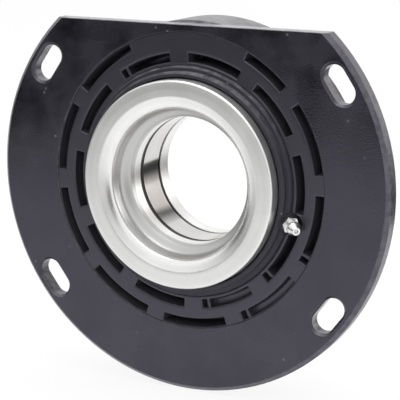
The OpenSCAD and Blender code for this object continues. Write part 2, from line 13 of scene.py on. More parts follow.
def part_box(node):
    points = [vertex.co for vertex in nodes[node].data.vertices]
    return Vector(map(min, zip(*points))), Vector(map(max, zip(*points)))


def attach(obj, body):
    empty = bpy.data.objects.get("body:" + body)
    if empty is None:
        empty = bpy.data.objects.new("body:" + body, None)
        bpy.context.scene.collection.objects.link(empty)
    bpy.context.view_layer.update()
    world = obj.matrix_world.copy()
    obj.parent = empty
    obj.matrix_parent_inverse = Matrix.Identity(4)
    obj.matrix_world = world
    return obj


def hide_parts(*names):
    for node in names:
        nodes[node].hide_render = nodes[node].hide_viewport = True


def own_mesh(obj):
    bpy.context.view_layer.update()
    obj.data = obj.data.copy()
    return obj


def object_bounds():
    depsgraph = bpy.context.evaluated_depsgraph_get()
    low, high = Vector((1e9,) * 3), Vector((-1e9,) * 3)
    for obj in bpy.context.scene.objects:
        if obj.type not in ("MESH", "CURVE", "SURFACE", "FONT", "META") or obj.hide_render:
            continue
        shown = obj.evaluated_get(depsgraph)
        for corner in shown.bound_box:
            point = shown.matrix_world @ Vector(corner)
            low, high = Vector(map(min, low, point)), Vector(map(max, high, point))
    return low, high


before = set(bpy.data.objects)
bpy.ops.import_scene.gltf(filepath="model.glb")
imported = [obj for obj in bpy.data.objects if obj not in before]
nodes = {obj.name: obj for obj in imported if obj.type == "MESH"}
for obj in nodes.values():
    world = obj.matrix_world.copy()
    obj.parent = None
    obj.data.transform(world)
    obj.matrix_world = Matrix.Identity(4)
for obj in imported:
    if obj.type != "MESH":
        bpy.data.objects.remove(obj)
cad_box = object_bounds()

# Flange housing
# A grey iron casting: a D-shaped plate with four bolt slots and a short barrel behind it.
# It is blasted and machined, then sprayed with satin black paint, which is rubbed thin on the edges; the
# flat, the rim's chamfer and the walls are also lighter as painted light.

# The flat's height over the axis, and the radius where the rim's chamfer starts
flat_height, chamfer_radius = 0.0726, 0.098
dust_grey, speck_grey, edge_grey = (0.30, 0.298, 0.295), (0.22, 0.22, 0.24), (0.24, 0.24, 0.25)
# The flat, the chamfer and the walls get these lighter greys: partly thin paint, partly painted light
flat_rub_and_light_grey, chamfer_rub_and_light_grey, wall_rub_and_light_grey = (0.38, 0.38, 0.39), (0.075, 0.074, 0.085), (0.20, 0.20, 0.21)


def make_group(name, inputs, outputs):
    """A shader node group with named sockets: its tree, what it is given and what it puts out."""
    tree = bpy.data.node_groups.new(name, "ShaderNodeTree")
    for label, value in inputs.items():
        socket = tree.interface.new_socket(label, in_out="INPUT", socket_type="NodeSocketFloat")
        socket.default_value = value
    for label, kind in outputs.items():
        tree.interface.new_socket(label, in_out="OUTPUT", socket_type=kind)
    given = tree.nodes.new("NodeGroupInput").outputs
    result = tree.nodes.new("NodeGroupOutput").inputs
    return tree, given, result


def add_node(tree, kind, links=(), **settings):
    """A node with its settings; links go from a socket or a plain value to an input."""
    node = tree.nodes.new(kind)
    for key, value in settings.items():
        setattr(node, key, value)
    for key, source in dict(links).items():
        if isinstance(source, bpy.types.NodeSocket):
            tree.links.new(source, node.inputs[key])
        else:
            node.inputs[key].default_value = source
    return node


def calc(tree, operation, *values):
    """The result socket of one sum."""
    return add_node(tree, "ShaderNodeMath", enumerate(values), operation=operation).outputs[0]


def plus(tree, first, second):
    """Two values added."""
    return calc(tree, "ADD", first, second)


def minus(tree, first, second):
    """The first value less the second."""
    return calc(tree, "SUBTRACT", first, second)


def times(tree, first, *others):
    """Values or masks multiplied."""
    product = first
    for other in others:
        product = calc(tree, "MULTIPLY", product, other)
    return product


def divide(tree, first, second):
    """The first value divided by the second."""
    return calc(tree, "DIVIDE", first, second)


def step_up(tree, value, low, high):
    """A mask that climbs from 0 to 1 between two values."""
    links = {"Value": value, "From Min": low, "From Max": high}
    return add_node(tree, "ShaderNodeMapRange", links, interpolation_type="SMOOTHSTEP").outputs[0]


def step_down(tree, value, low, high):
    """A mask that falls from 1 to 0 between two values."""
    return minus(tree, 1.0, step_up(tree, value, low, high))


def spread(tree, value, low, high):
    """A 0 to 1 value moved into a range."""
    return add_node(tree, "ShaderNodeMapRange", {"Value": value, "To Min": low, "To Max": high}).outputs[0]


def place(tree):
    """Object coordinates of the piece."""
    return add_node(tree, "ShaderNodeTexCoord").outputs["Object"]


def split(tree, vector):
    """X, Y and Z of a vector."""
    return add_node(tree, "ShaderNodeSeparateXYZ", {0: vector}).outputs


def off_axis(tree, xyz):
    """How far a place is from the shaft axis."""
    across = add_node(tree, "ShaderNodeCombineXYZ", {"X": xyz["X"], "Z": xyz["Z"]}).outputs[0]
    return add_node(tree, "ShaderNodeVectorMath", {0: across}, operation="LENGTH").outputs["Value"]


def noise(tree, vector, scale, detail=4.0, roughness=0.55):
    """The value socket of a noise."""
    links = {"Vector": vector, "Scale": scale, "Detail": detail, "Roughness": roughness}
    return add_node(tree, "ShaderNodeTexNoise", links).outputs["Fac"]


def make_edges():
    """Edges: the mask of worn edges and the softened normal there."""
    outputs = {"Wear": "NodeSocketFloat", "Normal": "NodeSocketVector"}
    tree, given, result = make_group("edges", {"Round": 0.0005, "Patchiness": 0.5}, outputs)
    least_bend, full_bend = 0.004, 0.12
    patch_scale, patch_low, patch_high, patch_drop = 160.0, 0.12, 0.45, 0.6
    rounded = add_node(tree, "ShaderNodeBevel", {"Radius": given["Round"]}, samples=6).outputs[0]
    straight = add_node(tree, "ShaderNodeNewGeometry").outputs["Normal"]
    likeness = add_node(tree, "ShaderNodeVectorMath", {0: rounded, 1: straight}, operation="DOT_PRODUCT")
    bend = minus(tree, 1.0, likeness.outputs["Value"])
    drop = times(tree, given["Patchiness"], patch_drop)
    patches = minus(tree, noise(tree, place(tree), patch_scale), drop)
    patches = step_up(tree, patches, patch_low, patch_high)
    wear = times(tree, step_up(tree, bend, least_bend, full_bend), patches)
    tree.links.new(wear, result["Wear"])
    tree.links.new(rounded, result["Normal"])
    return tree


def make_grain():
    """Grain: fine bumps, and a slow drift of tone."""
    outputs = {"Height": "NodeSocketFloat", "Tone": "NodeSocketFloat"}
    tree, given, result = make_group("grain", {"Size": 0.001, "Drift": 0.03}, outputs)
    where = place(tree)
    fine = noise(tree, where, divide(tree, 1.0, given["Size"]), detail=3.0, roughness=0.6)
    slow = noise(tree, where, divide(tree, 1.0, given["Drift"]), detail=4.0, roughness=0.6)
    tree.links.new(fine, result["Height"])
    tree.links.new(slow, result["Tone"])
    return tree


def make_specks():
    """Specks: sparse pale dots and short rubs left by handling."""
    inputs = {"Spacing": 0.012, "Size": 0.05}
    tree, given, result = make_group("specks", inputs, {"Mask": "NodeSocketFloat"})
    chosen_low, chosen_high = 0.5, 0.6
    scale = divide(tree, 1.0, given["Spacing"])
    cells = add_node(tree, "ShaderNodeTexVoronoi", {"Vector": place(tree), "Scale": scale}).outputs
    dots = step_down(tree, cells["Distance"], 0.0, given["Size"])
    draw = add_node(tree, "ShaderNodeSeparateColor", {"Color": cells["Color"]}).outputs[0]
    chosen = step_up(tree, draw, chosen_low, chosen_high)
    tree.links.new(times(tree, dots, chosen), result["Mask"])
    return tree


def make_dust():
    """Dust: a thin veil on what faces up."""
    tree, given, result = make_group("dust", {"Amount": 0.5}, {"Mask": "NodeSocketFloat"})
    cloud_scale, cloud_low, cloud_high = 220.0, 0.3, 0.75
    least_up, full_up = 0.2, 1.0
    up = split(tree, add_node(tree, "ShaderNodeNewGeometry").outputs["Normal"])["Z"]
    cloud = noise(tree, place(tree), cloud_scale, detail=6.0, roughness=0.7)
    cloud = step_up(tree, cloud, cloud_low, cloud_high)
    veil = times(tree, step_up(tree, up, least_up, full_up), cloud, given["Amount"])
    tree.links.new(veil, result["Mask"])
    return tree


edges = make_edges()
grain = make_grain()
specks = make_specks()
dust = make_dust()


def use(tree, group, **values):
    """A node group placed in a material, with its own values; its output sockets."""
    node = tree.nodes.new("ShaderNodeGroup")
    node.node_tree = group
    for key, value in values.items():
        node.inputs[key].default_value = value
    return node.outputs


def new_material(name, roughness, metallic=0.0, ior=1.5):
    """A material with its tree and the sockets of its one Principled shader."""
    material = bpy.data.materials.new(name)
    material.use_nodes = True
    tree = material.node_tree
    shader = tree.nodes["Principled BSDF"].inputs
    shader["Roughness"].default_value = roughness
    shader["Metallic"].default_value = metallic
    shader["IOR"].default_value = ior
    return material, tree, shader


def new_black(name, roughness):
    """A material with the strong, slightly violet sheen that the black paint and the rubber share."""
    material, tree, shader = new_material(name, roughness, ior=1.74)
    shader["Specular Tint"].default_value = (0.84, 0.81, 1.0, 1)
    return material, tree, shader


def layer(tree, mask, under, over):
    """One colour over another where the mask is."""
    mix = add_node(tree, "ShaderNodeMix", data_type="RGBA")
    tree.links.new(mask, mix.inputs[0])
    for socket, colour in zip(mix.inputs[6:8], (under, over)):
        if isinstance(colour, bpy.types.NodeSocket):
            tree.links.new(colour, socket)
        else:
            socket.default_value = (*colour, 1.0)
    return mix.outputs[2]


def bump(tree, height, distance, normal):
    """The normal after a bump of that height, in metres."""
    links = {"Height": height, "Distance": distance, "Normal": normal}
    return add_node(tree, "ShaderNodeBump", links).outputs[0]


def make_paint(name, deep, thin, roughness, edge_round, grain_size, wear, rub_and_light_layers=None):
    """Satin black paint: grain, worn edges, specks and dust; more layers may lighten its colour elsewhere, as
    thinner paint and painted light.
    """
    material, tree, shader = new_black(name, roughness)
    tone_low, tone_high, speck_share, grain_depth = 0.3, 0.7, 0.7, 0.00004
    smoother, rougher, dust_rough = 0.05, 0.09, 0.3
    edge = use(tree, edges, Round=edge_round, Patchiness=0.55)
    coat = use(tree, grain, Size=grain_size, Drift=0.024)
    dots = use(tree, specks, Spacing=0.0075, Size=0.12)
    veil = use(tree, dust, Amount=0.75)
    tone = step_up(tree, coat["Tone"], tone_low, tone_high)
    colour = layer(tree, tone, deep, thin)
    colour = layer(tree, veil["Mask"], colour, dust_grey)
    colour = layer(tree, times(tree, dots["Mask"], speck_share), colour, speck_grey)
    colour = layer(tree, times(tree, edge["Wear"], wear), colour, edge_grey)
    if rub_and_light_layers:
        colour = rub_and_light_layers(tree, colour)
    rough = spread(tree, tone, roughness - smoother, roughness + rougher)
    rough = plus(tree, rough, times(tree, veil["Mask"], dust_rough))
    tree.links.new(colour, shader["Base Color"])
    tree.links.new(rough, shader["Roughness"])
    tree.links.new(bump(tree, coat["Height"], grain_depth, edge["Normal"]), shader["Normal"])
    return material


def patchy(tree, scale, low, high, least):
    """Patches between a least value and 1."""
    return spread(tree, step_up(tree, noise(tree, place(tree), scale), low, high), least, 1.0)


def rubs_and_painted_light(tree, colour):
    """Lighter on the flat and the step behind it, on the rim's chamfer and on the plate's walls: partly paint
    rubbed thin, partly painted light.
    """
    flat_low, flat_full, flat_back = flat_height - 0.0004, flat_height - 0.0001, 0.0002
    chamfer_full, wall_lean, wall_back = chamfer_radius + 0.0003, 0.3, -0.001
    xyz = split(tree, place(tree))
    radius = off_axis(tree, xyz)
    # Painted light, partly paint rubbed thin: the flat on top is lighter
    on_flat = times(tree, step_up(tree, xyz["Z"], flat_low, flat_full),
                    calc(tree, "LESS_THAN", xyz["Y"], flat_back))
    flat_rub_and_light = patchy(tree, scale=220.0, low=0.3, high=0.7, least=0.4)
    colour = layer(tree, times(tree, on_flat, flat_rub_and_light), colour, flat_rub_and_light_grey)
    patches = patchy(tree, scale=260.0, low=0.35, high=0.65, least=0.35)
    # Painted light, partly thin paint: the rim's chamfer is lighter
    on_chamfer = step_up(tree, radius, chamfer_radius, chamfer_full)
    colour = layer(tree, times(tree, on_chamfer, patches), colour, chamfer_rub_and_light_grey)
    # Painted light, partly thin paint: walls that face sideways are lighter
    facing = split(tree, add_node(tree, "ShaderNodeNewGeometry").outputs["True Normal"])
    on_wall = times(tree, calc(tree, "LESS_THAN", calc(tree, "ABSOLUTE", facing["Y"]), wall_lean),
                    calc(tree, "LESS_THAN", radius, chamfer_radius),
                    calc(tree, "LESS_THAN", xyz["Y"], wall_back))
    return layer(tree, times(tree, on_wall, patches), colour, wall_rub_and_light_grey)


def dress(material, *names):
    """CAD nodes that keep their shape get their material."""
    for name in names:
        mesh = nodes[name].data
        mesh.materials.clear()
        mesh.materials.append(material)


# The flange's flat, chamfer and walls are lightened, partly as painted light
flange_paint = make_paint("flange_paint", deep=(0.0035, 0.0032, 0.0055), thin=(0.021, 0.0203, 0.0262),
                          roughness=0.22, edge_round=0.0006, grain_size=0.0009, wear=0.7,
                          rub_and_light_layers=rubs_and_painted_light)
dress(flange_paint, "flange_housing")

# Rubber cushion
# One moulding of black rubber, bonded to the barrel outside and to the carrier inside.
# Two staggered rows of arc-shaped pockets make it soft; the mould leaves a fine matt skin.

cushion_low, cushion_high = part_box("rubber_cushion")
cushion_face, cushion_back = cushion_low.y, cushion_high.y
bond_in, bond_out, ring_corner = 0.054, 0.0695, 0.0003
row_radii, row_width, lip, draft = (0.0576, 0.0669), 0.004, 0.0005, 0.00012
hollow_depth, skin = 0.008, 0.0015
# The second grey is painted light: the rubber is lighter deeper than its face, in the pockets
bloom_grey, pocket_light_grey = (0.16, 0.155, 0.15), (0.045, 0.043, 0.052)
rub_grey, worn_grey = (0.18, 0.18, 0.18), (0.09, 0.09, 0.095)


def make_rubber(name, deep, thin, roughness, edge_round, pocket_light=None):
    """Moulded rubber: matt skin and slight bloom; it may be lightened as painted light from one depth along
    the shaft to another.
    """
    material, tree, shader = new_black(name, roughness)
    pocket_light_least, speck_share, wear, grain_depth = 0.5, 0.3, 0.25, 0.00005
    smoother, rougher = 0.06, 0.08
    edge = use(tree, edges, Round=edge_round, Patchiness=0.4)
    mould = use(tree, grain, Size=0.0006, Drift=0.02)
    dots = use(tree, specks, Spacing=0.008, Size=0.08)
    veil = use(tree, dust, Amount=0.4)
    colour = layer(tree, mould["Tone"], deep, thin)
    colour = layer(tree, veil["Mask"], colour, bloom_grey)
    # Painted light: lighter deeper than the face, inside the pockets
    if pocket_light:
        inside = step_up(tree, split(tree, place(tree))["Y"], *pocket_light)
        inside = times(tree, inside, spread(tree, mould["Tone"], pocket_light_least, 1.0))
        colour = layer(tree, inside, colour, pocket_light_grey)
    colour = layer(tree, times(tree, dots["Mask"], speck_share), colour, rub_grey)
    colour = layer(tree, times(tree, edge["Wear"], wear), colour, worn_grey)
    rough = spread(tree, mould["Tone"], roughness - smoother, roughness + rougher)
    tree.links.new(colour, shader["Base Color"])
    tree.links.new(rough, shader["Roughness"])
    tree.links.new(bump(tree, mould["Height"], grain_depth, edge["Normal"]), shader["Normal"])
    return material


# Its rubber is lightened as painted light from 0.5 mm to 4 mm behind the face
cushion_rubber = make_rubber("cushion_rubber", deep=(0.016, 0.0155, 0.0195), thin=(0.024, 0.0235, 0.0285),
                             roughness=0.32, edge_round=0.0007,
                             pocket_light=(cushion_face + 0.0005, cushion_face + 0.004))

# The ring's section as radius and Y, with dense points where the pockets' edges will be
face_start, face_end = bond_in + 0.0004, bond_out - ring_corner
land_radii = (0.0613, 0.0622, 0.0632)
face_radii = {face_start, *row_radii, *land_radii, face_end}
edge_steps = (lip, lip / 2, lip / 5, 0.0, -draft, -lip, -row_width / 4)
for row_radius in row_radii:
    for side in (-1, 1):
        for edge_step in edge_steps:
            face_radii.add(min(row_radius + side * (row_width / 2 + edge_step), face_end))
hollow_middle = (bond_in + bond_out) / 2
hollow_half = (bond_out - bond_in - 2 * skin) / 4
hollow_floor = cushion_back - hollow_depth
corner_bend = ring_corner / 3
ring_section = [(bond_in, cushion_back), (bond_in, cushion_face + ring_corner),
                (bond_in + corner_bend, cushion_face + corner_bend)]
ring_section += [(radius, cushion_face) for radius in sorted(face_radii)]
ring_section += [(bond_out - corner_bend, cushion_face + corner_bend), (bond_out, cushion_face + ring_corner),
                 (bond_out, cushion_back), (bond_out - skin, cushion_back)]
ring_section += [(hollow_middle + hollow_half, hollow_floor), (hollow_middle - hollow_half, hollow_floor),
                 (bond_in + skin, cushion_back)]
section_mesh = bpy.data.meshes.new("cushion_section")
section_mesh.from_pydata([(radius, y, 0) for radius, y in ring_section], [], [])


def new_shape(name, **labels):
    """A Geometry Nodes tree with named inputs, listed by the kind of their sockets, and a material."""
    tree = bpy.data.node_groups.new(name, "GeometryNodeTree")
    tree.interface.new_socket("Geometry", in_out="OUTPUT", socket_type="NodeSocketGeometry")
    for kind, names in labels.items():
        for label in names:
            tree.interface.new_socket(label, in_out="INPUT", socket_type="NodeSocket" + kind)
    tree.interface.new_socket("Material", in_out="INPUT", socket_type="NodeSocketMaterial")
    return tree, tree.nodes.new("NodeGroupInput").outputs


def end_shape(tree, given, shape):
    """The end of a tree: its shape as real geometry, with its material."""
    shape = add_node(tree, "GeometryNodeRealizeInstances", {"Geometry": shape}).outputs[0]
    links = {"Geometry": shape, "Material": given["Material"]}
    shape = add_node(tree, "GeometryNodeSetMaterial", links).outputs[0]
    tree.links.new(shape, tree.nodes.new("NodeGroupOutput").inputs["Geometry"])


def make_pocket_ring():
    """Pocket ring: revolves the section about Y, and sinks two staggered rows of pockets into its face."""
    sizes = ("Face", "Lip", "Draft", "Width", "Depth", "Shallow Depth", "Web", "Web Room", "Web Drop",
             "Inner Radius", "Outer Radius", "Inner Arc", "Outer Arc", "Short Arc", "First Angle")
    face_slack, merge_gap, same_place = 0.00001, 0.000001, 0.1
    tree, given = new_shape("pocket_ring", Geometry=["Section"], Float=sizes, Int=["Segments", "Pockets"])

    # A grid with one column for each step round the axis and one row for each point of the section
    points = add_node(tree, "GeometryNodeAttributeDomainSize", {"Geometry": given["Section"]})
    points = points.outputs["Point Count"]
    rows = plus(tree, points, 1.0)
    columns = plus(tree, given["Segments"], 1.0)
    grid = add_node(tree, "GeometryNodeMeshGrid", {"Vertices X": columns, "Vertices Y": rows}).outputs["Mesh"]
    index = add_node(tree, "GeometryNodeInputIndex").outputs[0]
    column = calc(tree, "FLOOR", divide(tree, plus(tree, index, 0.5), rows))
    row = minus(tree, index, times(tree, column, rows))
    step = calc(tree, "MODULO", column, given["Segments"])
    turn = times(tree, divide(tree, step, given["Segments"]), 2 * math.pi)
    spot = add_node(tree, "GeometryNodeInputPosition").outputs[0]
    links = {"Geometry": given["Section"], "Value": spot, "Index": calc(tree, "MODULO", row, points)}
    sample = add_node(tree, "GeometryNodeSampleIndex", links, data_type="FLOAT_VECTOR").outputs["Value"]
    drawn = split(tree, sample)
    radius, level = drawn["X"], drawn["Y"]
    pitch = divide(tree, 2 * math.pi, given["Pockets"])

    def half_of(value):
        """Half a value."""
        return divide(tree, value, 2.0)

    def size_of(value):
        """A value without its sign."""
        return calc(tree, "ABSOLUTE", value)

    def is_one_of(number, wanted):
        """1 at the wanted places of a row."""
        total = calc(tree, "COMPARE", number, float(wanted[0]), same_place)
        for other in wanted[1:]:
            total = plus(tree, total, calc(tree, "COMPARE", number, float(other), same_place))
        return total

    def ramp(value, low, high, end):
        """Climbs from 0 to the end value between two values."""
        links = {"Value": value, "From Min": low, "From Max": high, "To Min": 0.0, "To Max": end}
        return add_node(tree, "ShaderNodeMapRange", links).outputs[0]

    def sink(row_radius, arc, start, shallow, missing, short, webs_at_start, webs_at_end):
        """How far one row of pockets sinks the face."""
        lip_share, lip_curve, bowl_share, bowl_reach = 0.7, 2.2, 1.6, 0.25
        away = minus(tree, turn, start)
        count = calc(tree, "ROUND", divide(tree, away, pitch))
        off = minus(tree, away, times(tree, count, pitch))
        number = calc(tree, "FLOORED_MODULO", count, given["Pockets"])
        half = half_of(arc)
        middle = off
        if short:
            # The short pocket starts where a full one would
            less = minus(tree, half, half_of(given["Short Arc"]))
            less = times(tree, is_one_of(number, short), less)
            half = minus(tree, half, less)
            middle = plus(tree, off, less)
        less = minus(tree, given["Depth"], given["Shallow Depth"])
        deep = minus(tree, given["Depth"], times(tree, is_one_of(number, shallow), less))
        across = minus(tree, size_of(minus(tree, radius, row_radius)), half_of(given["Width"]))
        along = times(tree, minus(tree, size_of(middle), half), radius)
        inside = times(tree, calc(tree, "MAXIMUM", across, along), -1.0)

        # A rounded lip, a steep wall and a hollow floor
        lip_sink = times(tree, given["Lip"], lip_share)
        lip_part = ramp(plus(tree, inside, given["Lip"]), 0.0, given["Lip"], 1.0)
        lip_part = times(tree, calc(tree, "POWER", lip_part, lip_curve), lip_sink)
        bowl_sink = times(tree, given["Lip"], bowl_share)
        wall_sink = minus(tree, minus(tree, deep, lip_sink), bowl_sink)
        wall_part = ramp(inside, 0.0, given["Draft"], wall_sink)
        bowl_part = ramp(inside, given["Draft"], times(tree, given["Width"], bowl_reach), 1.0)
        bowl_part = times(tree, calc(tree, "SQRT", bowl_part), bowl_sink)
        depth = plus(tree, plus(tree, lip_part, wall_part), bowl_part)

        # Thin webs stand across some pockets; elsewhere the web is a metre off
        reach = plus(tree, given["Web Room"], half_of(given["Web"]))
        web_turn = minus(tree, half_of(arc), divide(tree, reach, row_radius))
        for places, sign in ((webs_at_start, -1.0), (webs_at_end, 1.0)):
            if places:
                web_off = minus(tree, off, times(tree, web_turn, sign))
                past = minus(tree, times(tree, size_of(web_off), radius), half_of(given["Web"]))
                past = plus(tree, past, minus(tree, 1.0, is_one_of(number, places)))
                limit = plus(tree, given["Web Drop"], ramp(past, 0.0, given["Draft"], given["Depth"]))
                depth = calc(tree, "MINIMUM", depth, limit)
        if missing:
            depth = times(tree, depth, minus(tree, 1.0, is_one_of(number, missing)))
        return depth

    second_angle = plus(tree, given["First Angle"], half_of(pitch))
    inner = sink(given["Inner Radius"], given["Inner Arc"], given["First Angle"],
                 shallow=[8], missing=[], short=[], webs_at_start=[8, 9], webs_at_end=[3])
    outer = sink(given["Outer Radius"], given["Outer Arc"], second_angle,
                 shallow=[8], missing=[2], short=[1], webs_at_start=[8, 9], webs_at_end=[])
    on_face = calc(tree, "LESS_THAN", level, plus(tree, given["Face"], face_slack))
    level = plus(tree, level, times(tree, on_face, plus(tree, inner, outer)))
    links = {"X": times(tree, radius, calc(tree, "COSINE", turn)), "Y": level,
             "Z": times(tree, radius, calc(tree, "SINE", turn))}
    moved = add_node(tree, "ShaderNodeCombineXYZ", links).outputs[0]
    ring = add_node(tree, "GeometryNodeSetPosition", {"Geometry": grid, "Position": moved}).outputs[0]
    ring = add_node(tree, "GeometryNodeMergeByDistance", {"Geometry": ring, "Distance": merge_gap}).outputs[0]
    end_shape(tree, given, ring)
    return tree


def put(name, data):
    """An object at the origin of the scene."""
    piece = bpy.data.objects.new(name, data)
    bpy.context.scene.collection.objects.link(piece)
    return piece


def plain_mesh(source):
    """The mesh that an object's modifiers make."""
    return bpy.data.meshes.new_from_object(source.evaluated_get(bpy.context.evaluated_depsgraph_get()))


def grow(name, base, tree, values):
    """The plain mesh object that a Geometry Nodes tree makes from a base mesh."""
    source = put(name + "_base", base)
    modifier = source.modifiers.new("shape", "NODES")
    modifier.node_group = tree
    for item in tree.interface.items_tree:
        if item.in_out == "INPUT" and item.name in values:
            modifier[item.identifier] = values[item.name]
    mesh = plain_mesh(source)
    source.modifiers.remove(modifier)
    bpy.data.objects.remove(source)
    mesh.name = name
    return put(name, mesh)


def smooth(mesh, sharp_from):
    """Smooth shading, but for the edges sharper than that many degrees."""
    mesh.shade_smooth()
    mesh.set_sharp_from_angle(angle=math.radians(sharp_from))


cushion = grow("cushion", section_mesh, make_pocket_ring(), {
    "Segments": 1440, "Pockets": 10, "Face": cushion_face, "Lip": lip, "Draft": draft, "Width": row_width,
    "Depth": 0.013, "Shallow Depth": 0.0045, "Inner Radius": row_radii[0], "Outer Radius": row_radii[1],
    "Inner Arc": math.radians(26.5), "Outer Arc": math.radians(28), "Short Arc": math.radians(19.5),
    "First Angle": math.radians(4), "Web": 0.0014, "Web Room": 0.003, "Web Drop": 0.0002,
    "Material": cushion_rubber,
})

# The carrier's boss under the nipple runs through the ring's inner edge
nipple_turn, nipple_tilt = math.radians(-14.5), math.radians(45)
nipple_seat = Vector((0.053576, -0.007176, 0))
boss_radius, boss_low, boss_high = 0.00525, -0.0065, 0.0108
boss_way = Vector((math.sin(nipple_tilt), -math.cos(nipple_tilt), 0))
boss_middle = nipple_seat + boss_way * (boss_high + boss_low) / 2
upright = Vector((0, 0, 1)).rotation_difference(boss_way).to_matrix().to_4x4()
round_shaft = Matrix.Rotation(-nipple_turn, 4, "Y")
cutter = bmesh.new()
bmesh.ops.create_cone(cutter, cap_ends=True, segments=64, radius1=boss_radius, radius2=boss_radius,
                      depth=boss_high - boss_low)
cutter.transform(round_shaft @ Matrix.Translation(boss_middle) @ upright)
cutter_mesh = bpy.data.meshes.new("boss_cut")
cutter.to_mesh(cutter_mesh)
cutter.free()
boss_cut = put("boss_cut", cutter_mesh)
opening = cushion.modifiers.new("boss", "BOOLEAN")
opening.operation = "DIFFERENCE"
opening.solver = "EXACT"
opening.object = boss_cut
ring = bmesh.new()
ring.from_mesh(plain_mesh(cushion))
cushion.modifiers.remove(opening)
bpy.data.objects.remove(boss_cut)
bmesh.ops.recalc_face_normals(ring, faces=ring.faces)
ring.to_mesh(cushion.data)
ring.free()
cushion.data.materials.clear()
cushion.data.materials.append(cushion_rubber)
smooth(cushion.data, sharp_from=50)
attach(cushion, "housing")
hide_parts("rubber_cushion")

# Bearing carrier
# A turned steel ring inside the rubber, painted with the same black before the bearing goes in.
# Its nose stands round the front slinger, and the nipple is screwed into its front corner.

carrier_paint = make_paint("carrier_paint", deep=(0.010, 0.0096, 0.0125), thin=(0.015, 0.0146, 0.018),
                           roughness=0.62, edge_round=0.0014, grain_size=0.0008, wear=0.1)
dress(carrier_paint, "bearing_carrier")

# Ball bearing
# Ground and polished chrome steel races and balls, with a machined two-piece brass cage.
# The cage halves are riveted together between the balls.

# Lengths at the race's ends that are darkened as painted shade
race_low, race_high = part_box("inner_race")
front_corner, rear_corner, corner_shade_grey = 0.0011, 0.0023, (0.04, 0.038, 0.037)


def make_lathe():
    """Lathe: rings round the shaft axis left by turning or grinding, a height and a tone."""
    outputs = {"Height": "NodeSocketFloat", "Tone": "NodeSocketFloat"}
    tree, given, result = make_group("lathe", {"Pitch": 0.0003}, outputs)
    wander, broadness = 0.0004, 0.12
    xyz = split(tree, place(tree))
    angle = calc(tree, "ARCTAN2", xyz["Z"], xyz["X"])
    aside = times(tree, calc(tree, "SINE", angle), wander)
    links = {"X": off_axis(tree, xyz), "Y": xyz["Y"], "Z": aside}
    spot = add_node(tree, "ShaderNodeCombineXYZ", links).outputs[0]
    fine = noise(tree, spot, divide(tree, 1.0, given["Pitch"]), detail=2.0, roughness=0.5)
    broad = noise(tree, spot, divide(tree, broadness, given["Pitch"]), detail=3.0, roughness=0.6)
    tree.links.new(fine, result["Height"])
    tree.links.new(broad, result["Tone"])
    return tree


lathe = make_lathe()


def make_turned(name, dark, light, roughness, pitch, depth, edge_round, bands=None):
    """Turned or ground metal: rings round the axis, softened edges; bands may change colour and roughness."""
    material, tree, shader = new_material(name, roughness, metallic=1.0)
    tone_low, tone_high, smoother, rougher = 0.3, 0.7, 0.75, 1.25
    edge = use(tree, edges, Round=edge_round, Patchiness=0.3)
    rings = use(tree, lathe, Pitch=pitch)
    cloud = use(tree, grain, Size=0.0015, Drift=0.018)
    tone = times(tree, plus(tree, rings["Tone"], cloud["Tone"]), 0.5)
    colour = layer(tree, step_up(tree, tone, tone_low, tone_high), dark, light)
    rough = spread(tree, tone, roughness * smoother, roughness * rougher)
    if bands:
        colour, rough = bands(tree, colour, rough)
    tree.links.new(colour, shader["Base Color"])
    tree.links.new(rough, shader["Roughness"])
    tree.links.new(bump(tree, rings["Height"], depth, edge["Normal"]), shader["Normal"])
    return material


def race_bands(tree, colour, rough):
    """The race is darkened at both ends as painted shade, outside its middle band."""
    unshaded_low, unshaded_high, blend = race_low.y + front_corner, race_high.y - rear_corner, 0.0001
    unshaded_middle, unshaded_half = (unshaded_low + unshaded_high) / 2, (unshaded_high - unshaded_low) / 2
    off = calc(tree, "ABSOLUTE", minus(tree, split(tree, place(tree))["Y"], unshaded_middle))
    # Painted shade: the race is darker at both ends
    colour = layer(tree, step_up(tree, off, unshaded_half - blend, unshaded_half), colour, corner_shade_grey)
    return colour, rough


race_steel = make_turned("race_steel", dark=(0.60, 0.588, 0.582), light=(0.70, 0.69, 0.685), roughness=0.13,
                         pitch=0.0002, depth=0.000001, edge_round=0.0002, bands=race_bands)
ball_steel = make_turned("ball_steel", dark=(0.66, 0.66, 0.67), light=(0.74, 0.74, 0.74), roughness=0.06,
                         pitch=0.004, depth=0.0000005, edge_round=0.0002)
brass = make_turned("brass", dark=(0.62, 0.44, 0.17), light=(0.74, 0.55, 0.25), roughness=0.3,
                    pitch=0.0003, depth=0.000004, edge_round=0.0003)
dress(race_steel, "outer_race", "inner_race", "cage_rivets")
dress(ball_steel, *(name for name in nodes if name.startswith("ball_")))
dress(brass, "cage_front", "cage_rear")

# Snap ring
# An open ring with two eyes for the pliers, stamped from spring steel and phosphated dark grey.
# It is sprung into a groove of the carrier behind the outer race.

spring_steel = make_turned("spring_steel", dark=(0.10, 0.10, 0.105), light=(0.17, 0.17, 0.175),
                           roughness=0.45, pitch=0.0006, depth=0.000004, edge_round=0.0003)
dress(spring_steel, "snap_ring")

# Seals
# One seal in front of the bearing and one behind it keep the grease in.
# Each is a pressed steel case with a rubber lip moulded on, pushed into the carrier.

seal_rubber = make_rubber("seal_rubber", deep=(0.012, 0.012, 0.013), thin=(0.019, 0.019, 0.020),
                          roughness=0.45, edge_round=0.0002)
case_steel = make_turned("case_steel", dark=(0.42, 0.42, 0.42), light=(0.55, 0.55, 0.54), roughness=0.35,
                         pitch=0.0005, depth=0.000003, edge_round=0.0003)
dress(seal_rubber, "front_seal_lip", "rear_seal_lip")
dress(case_steel, "front_seal_case", "rear_seal_case")

# Slingers
# Turned steel cups, zinc plated, pressed on the shaft on both sides of the inner race.
# The front one's face is dished, its mouth is rounded, and its floor curves into the bore.

